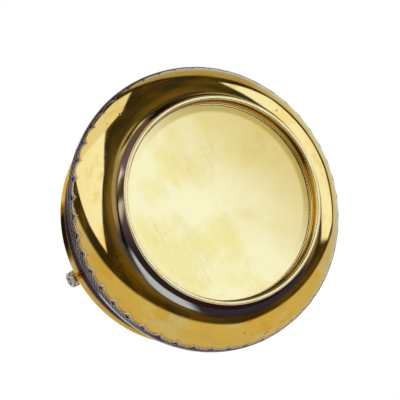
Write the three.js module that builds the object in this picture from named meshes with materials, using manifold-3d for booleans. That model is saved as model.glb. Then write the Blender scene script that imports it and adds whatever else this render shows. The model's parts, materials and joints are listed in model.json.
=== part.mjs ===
// Silver-gilt sweetmeat basket with a swing handle.
// Millimetres, +Z up, the basket stands on its foot ring at z = 0.
// The two hinge lugs lie on the X axis and the handle swings about it.

import * as THREE from 'three';
import { mergeVertices } from 'three/addons/utils/BufferGeometryUtils.js';
import Module from 'manifold-3d';

// Driving dimensions of the bowl
const bellyRadius = 56.2;
const bellyHeight = 19.7;
const baseRadius = 37.9;
const recessDepth = 5.05;
const wallThickness = 1.2;
const shoulderRadius = 6;
const shoulderLeanDegrees = 28;
const hollowRadius = 46.7;
const wallTop = 47.3;

// Foot ring and the wire round its lower edge
const footRadius = 40.3;
const footWall = 0.9;
const footFlare = 3.9;
const footWaistHeight = 2.6;
const footLean = 0.7;
const footEase = 0.3;
const footWireRadius = 0.4;
const footWireLift = 0.4;

// Applied border: teeth below the belly, a raised ridge over it, plain wall left above
const toothCount = 48;
const toothTipDrop = 6.2;
const toothHeight = 2.2;
const toothLand = 0.5;
const plainWall = 3.7;
const borderThickness = 0.5;
const ridgeRise = 7.8;
const ridgeHalfWidth = 0.8;
const ridgeProud = 0.4;

// Rim wire on top of the wall
const rimOverhang = 0.7;
const rimHalfDepth = 1;
const rimFlat = 0.8;

// Hinge: lug, pin and the handle's eye
const pivotDrop = 0.6;
const lugStandOff = 0.3;
const cheekThickness = 1.2;
const cheekRadius = 3.4;
const cheekFoot = 3.1;
const cheekFootHalf = 2.1;
const cheekCurveAcross = 2.7;
const cheekCurveDown = 2.4;
const scrollRadius = 1.1;
const scrollSpread = 2.7;
const scrollDrop = 2.25;
const padHalfWidth = 2.45;
const padTopDrop = 0.5;
const padSink = 0.4;
const pinRadius = 0.9;
const pinHeadRadius = 1.6;
const pinHeadSink = 0.6;
const pinHeadDome = 0.3;

// Handle
const handleThickness = 1.3;
const handleRise = 43;
const handleRoot = 4;
const handleEndWidth = 3.6;
const handleMiddleWidth = 9;
const handleSwell = 1.5;
const handleEdgeSlope = 0.35;
const handleEdgeHeight = 0.6;
const eyeRadius = 2.7;

// Clearances between neighbours
const seatGap = 0.3;
const hingeGap = 0.3;
const pinGap = 0.3;

// Facets
const turnSegments = 64;
const pointsPerTooth = 4;
const handleSteps = 36;

// Heights that follow from the sizes above
const shoulderLean = shoulderLeanDegrees * Math.PI / 180;
const shoulderTop = bellyHeight + shoulderRadius * Math.sin(shoulderLean);
const neckHeight = shoulderTop + hollowRadius * Math.sin(shoulderLean);
const arcSpan = shoulderRadius + hollowRadius;
const hollowCentre = bellyRadius - shoulderRadius + arcSpan * Math.cos(shoulderLean);
const toothTip = bellyHeight - toothTipDrop;
const toothRoot = toothTip + toothHeight;
const ridgeHeight = bellyHeight + ridgeRise;
const borderTop = wallTop - plainWall;
const pivotHeight = wallTop - pivotDrop;

const gilt = 0xd9b35a;
const silver = 0x9a9690;
const darkSilver = 0x77727a;

const wasm = await Module();
wasm.setup();

function toSolid(geometry) {
  const bare = geometry.clone();
  bare.deleteAttribute('normal');
  bare.deleteAttribute('uv');
  const merged = mergeVertices(bare, 1e-4);
  return new wasm.Manifold(new wasm.Mesh({
    numProp: 3,
    vertProperties: new Float32Array(merged.attributes.position.array),
    triVerts: new Uint32Array(merged.index.array),
  }));
}

function toGeometry(solid) {
  const mesh = solid.getMesh();
  const geometry = new THREE.BufferGeometry();
  geometry.setAttribute('position', new THREE.BufferAttribute(mesh.vertProperties, 3));
  geometry.setIndex(new THREE.BufferAttribute(mesh.triVerts, 1));
  return geometry;
}

function piece(name, geometry, color, metalness, roughness) {
  const bare = geometry.clone();
  bare.deleteAttribute('normal');
  bare.deleteAttribute('uv');
  const welded = mergeVertices(bare, 1e-4);
  welded.computeVertexNormals();
  const material = new THREE.MeshStandardMaterial({ color, metalness, roughness });
  const mesh = new THREE.Mesh(welded, material);
  mesh.name = name;
  return mesh;
}

// A ring turned about the Z axis from a closed outline of [radius, height] pairs,
// given with the ring's inside on the left as the outline is followed.
function turned(outline, segments) {
  const points = outline.map(([r, z]) => new THREE.Vector2(r, z));
  const lathe = new THREE.LatheGeometry(points, segments);
  lathe.rotateX(Math.PI / 2);
  return lathe;
}

// Outer radius of the bowl at a height: a quarter ellipse up to the belly, a short round
// shoulder over it, and a long hollow curve up to the wall's top.
function bowlRadius(z) {
  if (z < bellyHeight) {
    const drop = (bellyHeight - z) / (bellyHeight - recessDepth);
    const reach = bellyRadius - baseRadius;
    return baseRadius + reach * Math.sqrt(Math.max(0, 1 - drop * drop));
  }
  if (z < shoulderTop) {
    return bellyRadius - shoulderRadius + Math.sqrt(shoulderRadius ** 2 - (z - bellyHeight) ** 2);
  }
  return hollowCentre - Math.sqrt(hollowRadius ** 2 - (neckHeight - z) ** 2);
}

// Inward lean of the wall at a height over the belly.
function wallLean(z) {
  if (z < shoulderTop) return Math.asin((z - bellyHeight) / shoulderRadius);
  return Math.asin((neckHeight - z) / hollowRadius);
}

// Height of the bowl's underside at a radius between the base and the belly.
function bowlUnderside(r) {
  if (r < baseRadius) return recessDepth;
  const across = (r - baseRadius) / (bellyRadius - baseRadius);
  return bellyHeight - (bellyHeight - recessDepth) * Math.sqrt(1 - across * across);
}

// Evenly spaced values from one to another, both ends included.
function steps(from, to, count) {
  return Array.from({ length: count + 1 }, (_, i) => from + (to - from) * (i / count));
}

// Points down the bowl's wall, from the top to the edge of the flat base.
// inset moves them inwards, square to the wall, for the inner skin.
function wallPoints(inset) {
  const points = [];
  for (const z of [...steps(wallTop, shoulderTop, 6), ...steps(shoulderTop, bellyHeight, 2).slice(1)]) {
    const lean = wallLean(z);
    points.push([bowlRadius(z) - inset * Math.cos(lean), z - inset * Math.sin(lean)]);
  }
  const lowerSteps = 8;
  const reach = bellyRadius - baseRadius;
  const depth = bellyHeight - recessDepth;
  for (let i = 1; i <= lowerSteps; i++) {
    const turn = (i / lowerSteps) * Math.PI / 2;
    const normal = new THREE.Vector2(Math.cos(turn) / reach, -Math.sin(turn) / depth).normalize();
    const r = baseRadius + reach * Math.cos(turn);
    const z = bellyHeight - depth * Math.sin(turn);
    points.push([r - inset * normal.x, z - inset * normal.y]);
  }
  return points;
}

function bowl() {
  const outer = wallPoints(0);
  const inner = wallPoints(wallThickness);
  const outline = [[0, recessDepth], ...outer.reverse(), ...inner, [0, recessDepth + wallThickness]];
  outline[outer.length + 1][1] = wallTop;
  return piece('bowl', turned(outline, turnSegments), gilt, 1, 0.16);
}

// The foot ring stands upright at its lip and flares out at the top to meet the bowl.
function footRing() {
  const inner = footRadius - footWall;
  const innerTop = inner - footLean;
  const flareRadius = footRadius + footFlare;
  const flareTop = bowlUnderside(flareRadius) - seatGap;
  const outer = steps(0, 1, 4).map((s) => [
    footRadius + footFlare * s * s,
    footWaistHeight + (flareTop - footWaistHeight) * s,
  ]);
  const top = steps(flareRadius, innerTop, 3).slice(1).map((r) => [r, bowlUnderside(r) - seatGap]);
  const outline = [
    [inner + footEase, 0],
    [footRadius, 0],
    ...outer,
    ...top,
    [inner, footWaistHeight],
    [inner, footEase],
    [inner + footEase, 0],
  ];
  return piece('foot_ring', turned(outline, turnSegments), silver, 1, 0.22);
}

// Round wire that edges the foot, lifted so that only the ring's flat face stands.
function footRimWire() {
  const centre = footRadius + seatGap + footWireRadius;
  const height = footWireLift + footWireRadius;
  const outline = steps(0, 2 * Math.PI, 7).map((turn) => [
    centre + footWireRadius * Math.cos(turn),
    height + footWireRadius * Math.sin(turn),
  ]);
  return piece('foot_rim_wire', turned(outline, turnSegments), silver, 1, 0.2);
}

// Lower edge of the border along one tooth: concave arcs that meet in points.
function toothEdge(fraction) {
  const fromTip = Math.abs(fraction - 0.5) * 2;
  return toothTip + toothHeight * Math.sqrt(1 - fromTip * fromTip);
}

// How far the border's face stands off the bowl at a height above the teeth.
function borderFace(z) {
  const fromRidge = Math.abs(z - ridgeHeight) / ridgeHalfWidth;
  const ridge = fromRidge < 1 ? ridgeProud * Math.sqrt(1 - fromRidge * fromRidge) : 0;
  return seatGap + borderThickness + ridge;
}

// Joins two rings of points with triangles. They have as many points, or one has twice as many.
function stitch(indices, lower, upper) {
  const count = Math.min(lower.length, upper.length);
  const lowerStep = lower.length / count;
  const upperStep = upper.length / count;
  for (let i = 0; i < count; i++) {
    const a = i * lowerStep;
    const b = i * upperStep;
    const nextA = lower[(a + lowerStep) % lower.length];
    const nextB = upper[(b + upperStep) % upper.length];
    if (lowerStep === 2) indices.push(lower[a], lower[a + 1], upper[b]);
    if (upperStep === 2) indices.push(lower[a], upper[b + 1], upper[b]);
    const midA = lower[a + lowerStep - 1];
    const midB = upper[b + upperStep - 1];
    indices.push(midA, nextA, midB);
    indices.push(nextA, nextB, midB);
  }
}

// The border follows the wall as a closed sleeve, cut along its lower edge into pointed teeth.
// It has fewer columns above the teeth, where it is plain.
function ornamentBand() {
  const fine = toothCount * pointsPerTooth;
  const coarse = fine / 2;
  const land = toothRoot + toothLand;
  const middle = (ridgeHeight + borderTop) / 2;
  const shoulderMiddle = (bellyHeight + shoulderTop) / 2;
  const positions = [];
  const ring = (columns, height, standOff) => {
    const first = positions.length / 3;
    for (let c = 0; c < columns; c++) {
      const angle = (c / columns) * Math.PI * 2;
      const z = height ?? toothEdge(((c * fine) / columns % pointsPerTooth) / pointsPerTooth);
      const r = bowlRadius(z) + (standOff ?? borderFace(z));
      positions.push(r * Math.cos(angle), r * Math.sin(angle), z);
    }
    return Array.from({ length: columns }, (_, c) => first + c);
  };
  const faceHeights = [bellyHeight, shoulderTop, ridgeHeight - ridgeHalfWidth, ridgeHeight,
    ridgeHeight + ridgeHalfWidth, middle, borderTop];
  const backHeights = [borderTop, middle, ridgeHeight, shoulderTop, shoulderMiddle, bellyHeight];
  const rings = [
    ring(fine, null),
    ring(fine, land),
    ...faceHeights.map((z) => ring(coarse, z)),
    ...backHeights.map((z) => ring(coarse, z, seatGap)),
    ring(fine, land, seatGap),
    ring(fine, null, seatGap),
  ];
  const indices = [];
  rings.forEach((lower, i) => stitch(indices, lower, rings[(i + 1) % rings.length]));
  const geometry = new THREE.BufferGeometry();
  geometry.setAttribute('position', new THREE.Float32BufferAttribute(positions, 3));
  geometry.setIndex(indices);
  return piece('ornament_band', geometry, darkSilver, 1, 0.4);
}

// Round rim wire that caps the wall, cut flat where it sits on it.
function rimWire() {
  const halfWidth = wallThickness / 2 + rimOverhang;
  const centre = bowlRadius(wallTop) - wallThickness / 2;
  const height = wallTop + seatGap + rimFlat;
  const start = -Math.asin(rimFlat / rimHalfDepth);
  const outline = steps(start, Math.PI - start, 9).map((turn) => [
    centre + halfWidth * Math.cos(turn),
    height + rimHalfDepth * Math.sin(turn),
  ]);
  outline.push(outline[0]);
  return piece('rim_wire', turned(outline, turnSegments), gilt, 1, 0.14);
}

// The outermost face that a lug can rest on at a height: the border's, or the bare wall's.
function restingFace(z) {
  const onBorder = z < borderTop + seatGap;
  return bowlRadius(z) + (onBorder ? borderFace(Math.min(z, borderTop)) : 0) + seatGap;
}

// Heights down the lug's back, with a step where it passes the border's top edge
function padHeights() {
  const low = pivotHeight - cheekFoot;
  const high = wallTop - padTopDrop;
  const heights = steps(low, high, 3);
  const ridgeHead = ridgeHeight + ridgeHalfWidth;
  for (const z of [ridgeHeight - ridgeHalfWidth, ridgeHeight, ridgeHead, borderTop + seatGap]) {
    if (z > low && z < high) heights.push(z - 0.01, z + 0.01);
  }
  return heights.sort((a, b) => a - b);
}

// Hinge places along X, worked outwards from what the lug rests on and the rim that it passes
const rimOuter = bowlRadius(wallTop) + rimOverhang;
const innerCheek = Math.max(rimOuter, ...padHeights().map((z) => restingFace(z) - seatGap)) + lugStandOff;
const eyePlane = innerCheek + cheekThickness + hingeGap + handleThickness / 2;
const outerCheek = eyePlane + handleThickness / 2 + hingeGap;
const lugEnd = outerCheek + cheekThickness;

// A flat outline in Y and Z, drawn round the pivot, given a thickness along X from x.
function plateAlongX(shape, x, thickness) {
  const plate = new THREE.ExtrudeGeometry(shape, {
    depth: thickness,
    bevelEnabled: false,
    curveSegments: 8,
  });
  plate.rotateX(Math.PI / 2);
  plate.rotateZ(Math.PI / 2);
  plate.translate(x, 0, pivotHeight);
  return toSolid(plate);
}

function rodAlongX(radius, x, length, y, z, sides) {
  const rod = new THREE.CylinderGeometry(radius, radius, length, sides);
  rod.rotateZ(Math.PI / 2);
  rod.translate(x + length / 2, y, pivotHeight + z);
  return toSolid(rod);
}

// Outline of one cheek: a round head over a narrower foot.
function cheekShape() {
  const shape = new THREE.Shape();
  shape.moveTo(-cheekFootHalf, -cheekFoot);
  shape.lineTo(cheekFootHalf, -cheekFoot);
  shape.quadraticCurveTo(cheekCurveAcross, -cheekCurveDown, cheekRadius, 0);
  shape.absarc(0, 0, cheekRadius, 0, Math.PI, false);
  shape.quadraticCurveTo(-cheekCurveAcross, -cheekCurveDown, -cheekFootHalf, -cheekFoot);
  return shape;
}

// Two cheeks, the scrolled bars that join them under the eye, and the pad on the wall.
function lugSolid() {
  const shape = cheekShape();
  const inner = plateAlongX(shape, innerCheek, cheekThickness);
  const outer = plateAlongX(shape, outerCheek, cheekThickness);
  const width = lugEnd - innerCheek;
  const slot = innerCheek + cheekThickness;
  let solid = inner.add(outer).add(wallPad());
  for (const side of [-1, 1]) {
    solid = solid.add(rodAlongX(scrollRadius, innerCheek, width, side * scrollSpread, -scrollDrop, 12));
  }
  const bore = rodAlongX(pinRadius + pinGap, innerCheek - width, 2 * width, 0, 0, 16);
  const sink = rodAlongX(pinHeadRadius + pinGap, lugEnd - pinHeadSink, width, 0, 0, 20);
  const clearance = rodAlongX(eyeRadius + hingeGap, slot, outerCheek - slot, 0, 0, 24);
  return solid.subtract(bore).subtract(sink).subtract(clearance);
}

// Pad between the wall and the inner cheek, its back turned to the curve of what it rests on.
function wallPad() {
  const heights = padHeights();
  const low = heights[0];
  const high = heights[heights.length - 1];
  const face = innerCheek + padSink;
  const outline = [[face, low], [face, high]];
  for (const z of heights.reverse()) outline.push([restingFace(z), z]);
  outline.push(outline[0]);
  const ring = turned(outline, turnSegments * 2);
  const reach = bellyRadius / 2;
  const block = new THREE.BoxGeometry(reach, 2 * padHalfWidth, wallTop);
  block.translate(innerCheek, 0, (high + low) / 2);
  return toSolid(ring).intersect(toSolid(block));
}

function lugs() {
  const group = new THREE.Group();
  const geometry = toGeometry(lugSolid());
  for (const [name, turn] of [['lug_right', 0], ['lug_left', Math.PI]]) {
    const lug = piece(name, geometry, silver, 1, 0.28);
    lug.rotation.z = turn;
    group.add(lug);
  }
  return group;
}

// Rivet pin whose low domed head is let into the outer cheek.
function hingePins() {
  const group = new THREE.Group();
  const start = innerCheek + pinGap;
  const headSeat = lugEnd - pinHeadSink + pinGap;
  const dome = 3;
  const points = [new THREE.Vector2(0, start), new THREE.Vector2(pinRadius, start)];
  points.push(new THREE.Vector2(pinRadius, headSeat), new THREE.Vector2(pinHeadRadius, headSeat));
  for (let i = 0; i <= dome; i++) {
    const turn = (i / dome) * Math.PI / 2;
    const r = i === dome ? 0 : pinHeadRadius * Math.cos(turn);
    points.push(new THREE.Vector2(r, lugEnd + pinHeadDome * Math.sin(turn)));
  }
  for (const [name, turn] of [['hinge_pin_right', 0], ['hinge_pin_left', Math.PI]]) {
    const lathe = new THREE.LatheGeometry(points, 16);
    lathe.rotateZ(-Math.PI / 2);
    lathe.translate(0, 0, pivotHeight);
    const pin = piece(name, lathe, silver, 1, 0.25);
    pin.rotation.z = turn;
    group.add(pin);
  }
  return group;
}

// Middle line of the handle: two short upright roots and one arc of a circle between them.
function handleLine() {
  const archBase = pivotHeight + handleRoot;
  const archRise = handleRise - handleRoot;
  const archRadius = (eyePlane ** 2 + archRise ** 2) / (2 * archRise);
  const centre = archBase + archRise - archRadius;
  const start = Math.asin((archBase - centre) / archRadius);
  const arch = steps(start, Math.PI - start, handleSteps).map((turn, i) => ({
    x: archRadius * Math.cos(turn),
    z: centre + archRadius * Math.sin(turn),
    along: (i / handleSteps) * Math.PI,
  }));
  const first = { x: eyePlane, z: pivotHeight, along: 0 };
  const last = { x: -eyePlane, z: pivotHeight, along: Math.PI };
  return [first, ...arch, last];
}

// Section of the handle in half widths and half thicknesses: flat faces with sloped edges.
function handleSection() {
  const flat = 1 - handleEdgeSlope;
  const edge = 1 - handleEdgeHeight;
  return [[-1, -edge], [-flat, -1], [flat, -1], [1, -edge], [1, edge], [flat, 1], [-flat, 1], [-1, edge]];
}

// Flat strip swept along the middle line and widest at the top.
function handleBow() {
  const stations = handleLine();
  const section = handleSection();
  const sides = section.length;
  const positions = [];
  const indices = [];
  stations.forEach((at, i) => {
    const before = stations[Math.max(0, i - 1)];
    const after = stations[Math.min(stations.length - 1, i + 1)];
    const tangent = new THREE.Vector2(after.x - before.x, after.z - before.z).normalize();
    const outward = new THREE.Vector2(tangent.y, -tangent.x);
    const swell = Math.sin(at.along) ** handleSwell;
    const halfWidth = (handleEndWidth + (handleMiddleWidth - handleEndWidth) * swell) / 2;
    for (const [across, through] of section) {
      const offset = through * handleThickness / 2;
      positions.push(at.x + outward.x * offset, across * halfWidth, at.z + outward.y * offset);
    }
  });
  const last = stations.length - 1;
  for (let i = 0; i < last; i++) {
    for (let k = 0; k < sides; k++) {
      const a = i * sides + k;
      const b = i * sides + (k + 1) % sides;
      indices.push(a, b + sides, b, a, a + sides, b + sides);
    }
  }
  for (let k = 1; k < sides - 1; k++) {
    indices.push(0, k, k + 1);
    indices.push(last * sides, last * sides + k + 1, last * sides + k);
  }
  const geometry = new THREE.BufferGeometry();
  geometry.setAttribute('position', new THREE.Float32BufferAttribute(positions, 3));
  geometry.setIndex(indices);
  return toSolid(geometry);
}

function bailHandle() {
  let solid = handleBow();
  for (const place of [eyePlane, -eyePlane]) {
    const start = place - handleThickness / 2;
    solid = solid.add(rodAlongX(eyeRadius, start, handleThickness, 0, 0, 24));
  }
  const reach = 2 * lugEnd;
  solid = solid.subtract(rodAlongX(pinRadius + pinGap, -reach / 2, reach, 0, 0, 16));
  return piece('bail_handle', toGeometry(solid), gilt, 1, 0.2);
}

const basket = new THREE.Group();
basket.add(bowl());
basket.add(footRing());
basket.add(footRimWire());
basket.add(ornamentBand());
basket.add(rimWire());
basket.add(lugs());
basket.add(hingePins());
basket.add(bailHandle());

export default basket;
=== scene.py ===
# Silver-gilt sweetmeat basket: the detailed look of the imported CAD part.
# Metres, +Z up. The basket stands on its foot ring at z = 0, and the camera looks up at it.

import json
import math

import bpy
import numpy as np
from mathutils import Matrix, Vector, noise


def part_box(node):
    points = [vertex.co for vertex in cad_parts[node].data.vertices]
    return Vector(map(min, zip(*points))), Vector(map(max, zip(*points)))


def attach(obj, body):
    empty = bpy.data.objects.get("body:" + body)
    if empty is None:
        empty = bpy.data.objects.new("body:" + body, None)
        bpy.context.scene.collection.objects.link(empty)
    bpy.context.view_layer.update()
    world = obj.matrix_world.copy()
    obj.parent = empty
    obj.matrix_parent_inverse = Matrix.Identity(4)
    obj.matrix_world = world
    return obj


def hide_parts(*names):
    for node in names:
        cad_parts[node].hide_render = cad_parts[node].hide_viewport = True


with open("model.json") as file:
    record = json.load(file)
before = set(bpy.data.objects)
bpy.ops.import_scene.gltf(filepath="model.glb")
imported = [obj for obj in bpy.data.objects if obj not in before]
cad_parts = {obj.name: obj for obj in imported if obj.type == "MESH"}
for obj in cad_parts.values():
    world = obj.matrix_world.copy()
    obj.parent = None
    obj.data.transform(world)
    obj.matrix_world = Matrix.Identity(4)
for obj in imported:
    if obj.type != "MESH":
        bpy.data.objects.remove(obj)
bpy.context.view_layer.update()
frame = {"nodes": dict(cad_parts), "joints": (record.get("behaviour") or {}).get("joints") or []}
MM = 0.001


# ------ sizes, read from the frame

def reach(node):
    """Largest and smallest radius of a CAD node about Z, and its lowest and highest point."""
    points = np.array([v.co for v in frame["nodes"][node].data.vertices])
    radii = np.hypot(points[:, 0], points[:, 1])
    return radii.max(), radii.min(), points[:, 2].min(), points[:, 2].max()


BELLY_RADIUS, _, RECESS, WALL_TOP = reach("bowl")
BAND_FACE, _, TOOTH_TIP, BORDER_TOP = reach("ornament_band")
RIM_OUTER, RIM_INNER, RIM_LOW, _ = reach("rim_wire")
_, LUG_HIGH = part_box("lug_right")
HANDLE_LOW, HANDLE_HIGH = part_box("bail_handle")
PIVOT = frame["joints"][0]["pos_m"][2]

# Sizes that the frame's boxes don't give, the same as in the CAD
BELLY_HEIGHT = 19.7 * MM
BASE_RADIUS = 37.9 * MM
WALL = 1.2 * MM
SHOULDER_RADIUS = 6 * MM
SHOULDER_LEAN = math.radians(28)
HOLLOW_RADIUS = 46.7 * MM
FOOT_RADIUS = 40.3 * MM
FOOT_WALL = 0.9 * MM
TOOTH_COUNT = 48
TOOTH_HEIGHT = 2.2 * MM
RIDGE_HEIGHT = 27.5 * MM
RIM_HALF_HEIGHT = 1.0 * MM
RIM_FLAT = 0.8 * MM
PIN_RADIUS = 0.9 * MM
HANDLE_THICKNESS = 1.3 * MM
HANDLE_ROOT = 4 * MM
HANDLE_END = 3.6 * MM
HANDLE_SWELL = 1.5

# Finer shapes, read from the photograph or chosen to suit it
DISH_START = 35.2 * MM
DISH_EASE = 1.0 * MM
DISH_SLOPE = 0.10
DISH_END = 38.05 * MM
BASE_LINE_WIDTH = 0.45 * MM
BASE_LINE_RISE = 0.03 * MM
BASE_LINE_END = DISH_END + BASE_LINE_WIDTH
FOOT_HEAD = 42.3 * MM
FOOT_HEAD_HEIGHT = 4.2 * MM
FILLET_REACH = 44.3 * MM
LIP_PROUD = 0.85 * MM
LIP_ROLL = 0.55 * MM
LIP_SOFT = 0.75 * MM
LIP_RISE = 0.5 * MM
LIP_TOP = 1.2 * MM
RIDGE_HALF_WIDTH = 1.0 * MM
RIDGE_RELIEF = 0.5 * MM
WAIST_HEIGHT = 20.1 * MM
WAIST_HALF_WIDTH = 0.9 * MM
WAIST_RELIEF = 0.15 * MM
COLLAR_PROUD = 0.06 * MM
DENT = 0.10 * MM
BASE_WAVE = 0.025 * MM

# Columns of points round the axis
ROUND = 512
FOOT_ROUND = 384
TOOTH_COLUMNS = 32

SHOULDER_TOP = BELLY_HEIGHT + SHOULDER_RADIUS * math.sin(SHOULDER_LEAN)
NECK_HEIGHT = SHOULDER_TOP + HOLLOW_RADIUS * math.sin(SHOULDER_LEAN)
HOLLOW_CENTRE = BELLY_RADIUS - SHOULDER_RADIUS + (SHOULDER_RADIUS + HOLLOW_RADIUS) * math.cos(SHOULDER_LEAN)

# The border lies flush in the wall, so the bowl's skin is carried out almost to its face.
RELIEF = 0.12 * MM
SKIN = BAND_FACE - RELIEF - BELLY_RADIUS
SKIN_RADIUS = BELLY_RADIUS + SKIN


def bowl_radius(z, skin=0):
    """Outer radius of the bowl at a height, as in the CAD or carried out by a skin."""
    if z < BELLY_HEIGHT:
        drop = (BELLY_HEIGHT - z) / (BELLY_HEIGHT - RECESS)
        return BASE_RADIUS + (BELLY_RADIUS + skin - BASE_RADIUS) * math.sqrt(max(0, 1 - drop * drop))
    if z < SHOULDER_TOP:
        return BELLY_RADIUS - SHOULDER_RADIUS + math.sqrt(SHOULDER_RADIUS ** 2 - (z - BELLY_HEIGHT) ** 2) + skin
    return HOLLOW_CENTRE - math.sqrt(HOLLOW_RADIUS ** 2 - (NECK_HEIGHT - z) ** 2) + skin


def skin_radius(z):
    """Outer radius of the bowl as it shows."""
    return bowl_radius(z, SKIN)


def skin_underside(r):
    """Height of the bowl's underside at a radius between the base and the belly."""
    across = max(0, r - BASE_RADIUS) / (SKIN_RADIUS - BASE_RADIUS)
    return BELLY_HEIGHT - (BELLY_HEIGHT - RECESS) * math.sqrt(1 - across * across)


def wall_lean(z):
    """Inward lean of the wall at a height over the belly."""
    if z < SHOULDER_TOP:
        return math.asin((z - BELLY_HEIGHT) / SHOULDER_RADIUS)
    return math.asin((NECK_HEIGHT - z) / HOLLOW_RADIUS)


# ------ mesh helpers

def steps(start, end, count):
    """Evenly spaced values from start to end, both included."""
    return [start + (end - start) * i / count for i in range(count + 1)]


def bump_at(distance, centre, half_width, height):
    """Round bead across a line: height at its centre, nothing beyond its half width."""
    t = (distance - centre) / half_width
    return height * math.sqrt(1 - t * t) if abs(t) < 1 else 0


def add_object(name, data):
    added = bpy.data.objects.new(name, data)
    bpy.context.scene.collection.objects.link(added)
    return added


def make_object(name, points, faces, smooth_angle=50):
    mesh = bpy.data.meshes.new(name)
    mesh.from_pydata([tuple(p) for p in points], [], faces)
    mesh.validate()
    mesh.shade_smooth()
    mesh.set_sharp_from_angle(angle=math.radians(smooth_angle))
    return add_object(name, mesh)


def revolved(name, outline, columns, uneven=None, smooth_angle=50):
    """A body turned about Z from an outline of (radius, height), closed at its poles or into a ring."""
    points, rings = [], []
    angles = [2 * math.pi * c / columns for c in range(columns)]
    for r, z in outline:
        first = len(points)
        if r < 1e-9:
            points.append((0, 0, z))
            rings.append([first] * columns)
            continue
        for a in angles:
            out, up = uneven(a, r, z) if uneven else (0, 0)
            points.append(((r + out) * math.cos(a), (r + out) * math.sin(a), z + up))
        rings.append(list(range(first, first + columns)))
    closed = outline[0][0] > 1e-9
    faces = []
    pairs = list(zip(rings, rings[1:])) + ([(rings[-1], rings[0])] if closed else [])
    for lower, upper in pairs:
        for c in range(columns):
            d = (c + 1) % columns
            face = [lower[c], lower[d], upper[d], upper[c]]
            face = [v for i, v in enumerate(face) if v != face[i - 1]]
            if len(face) > 2:
                faces.append(face)
    return make_object(name, points, faces, smooth_angle)


def grid_faces(rows, columns, closed):
    """Quads between closed rows of points, with the last row joined to the first where closed."""
    faces = []
    for row in range(rows if closed else rows - 1):
        lower, upper = row * columns, (row + 1) % rows * columns
        for c in range(columns):
            d = (c + 1) % columns
            faces.append((lower + c, lower + d, upper + d, upper + c))
    return faces


# ------ bowl

def dent(angle, height, strength):
    """Slow unevenness of hand-raised metal."""
    spot = Vector((math.cos(angle), math.sin(angle), height / (30 * MM)))
    return strength * noise.noise(spot * 1.6) + 0.4 * strength * noise.noise(spot * 4.1)


def dish_drop(r):
    """How far the base stands below its flat middle, towards its edge."""
    past = max(0, r - DISH_START)
    if past < DISH_EASE:
        return DISH_SLOPE * past * past / (2 * DISH_EASE)
    return DISH_SLOPE * (past - DISH_EASE / 2)


def base_outline():
    """Flat base, sloped a little near its edge, with a fine line before the foot."""
    flat = [(r, RECESS) for r in steps(0, DISH_START, 22)]
    dish = [(r, RECESS - dish_drop(r)) for r in steps(DISH_START, DISH_END, 16)[1:]]
    line = [(DISH_END + BASE_LINE_WIDTH * t, RECESS - dish_drop(DISH_END) + BASE_LINE_RISE * t * t)
            for t in steps(0, 1, 6)[1:]]
    return flat + dish + line + [(BASE_LINE_END + 0.02 * MM, RECESS + 0.05 * MM)]


def outer_wall():
    """Outside of the bowl, from the foot up to the top."""
    wall = []
    for t in steps(math.pi / 2, 0, 60):
        r = BASE_RADIUS + (SKIN_RADIUS - BASE_RADIUS) * math.cos(t)
        if r > BASE_LINE_END + 0.1 * MM:
            wall.append((r, BELLY_HEIGHT - (BELLY_HEIGHT - RECESS) * math.sin(t)))
    heights = steps(BELLY_HEIGHT, SHOULDER_TOP, 10)[1:] + steps(SHOULDER_TOP, WALL_TOP, 40)[1:]
    return wall + [(skin_radius(z), z) for z in heights]


def inner_wall():
    """Inside of the bowl, from the top down to the floor, a wall's thickness from the CAD's outside."""
    wall = [(bowl_radius(WALL_TOP) - WALL, WALL_TOP)]
    for z in steps(WALL_TOP, SHOULDER_TOP, 40)[1:] + steps(SHOULDER_TOP, BELLY_HEIGHT, 8)[1:]:
        lean = wall_lean(z)
        wall.append((bowl_radius(z) - WALL * math.cos(lean), z - WALL * math.sin(lean)))
    across, depth = BELLY_RADIUS - BASE_RADIUS, BELLY_HEIGHT - RECESS
    for t in steps(0, math.pi / 2, 40)[1:]:
        normal = np.array([math.cos(t) / across, -math.sin(t) / depth])
        normal /= np.linalg.norm(normal)
        wall.append((BASE_RADIUS + across * math.cos(t) - WALL * normal[0],
                     BELLY_HEIGHT - depth * math.sin(t) - WALL * normal[1]))
    return wall


def bowl_outline():
    floor = [(r, RECESS + WALL) for r in steps(BASE_RADIUS, 0, 24)[1:]]
    return base_outline() + outer_wall() + inner_wall() + floor


def bowl_uneven(angle, r, z):
    """Shifts outwards and upwards: dents in the wall, a slow wave in the base."""
    outside = min(1, max(0, (r - BASE_RADIUS) / (6 * MM)))
    strength = DENT * outside * min(1, max(0, (WALL_TOP - z) / (6 * MM)))
    wave = BASE_WAVE * noise.noise(Vector((r * math.cos(angle), r * math.sin(angle), 0)) / (14 * MM))
    from_foot = min(1, (BASE_RADIUS - min(r, BASE_RADIUS)) / (4 * MM))
    return dent(angle, z, strength), wave * (1 - outside) * from_foot


def build_bowl():
    return revolved("bowl_shell", bowl_outline(), ROUND, bowl_uneven)


# ------ foot and rim

def bent(start, corner, end, count):
    """Points of a curve from start to end, drawn towards a corner."""
    return [tuple((1 - t) ** 2 * a + 2 * t * (1 - t) * b + t * t * c for a, b, c in zip(start, corner, end))
            for t in steps(0, 1, count)]


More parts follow.
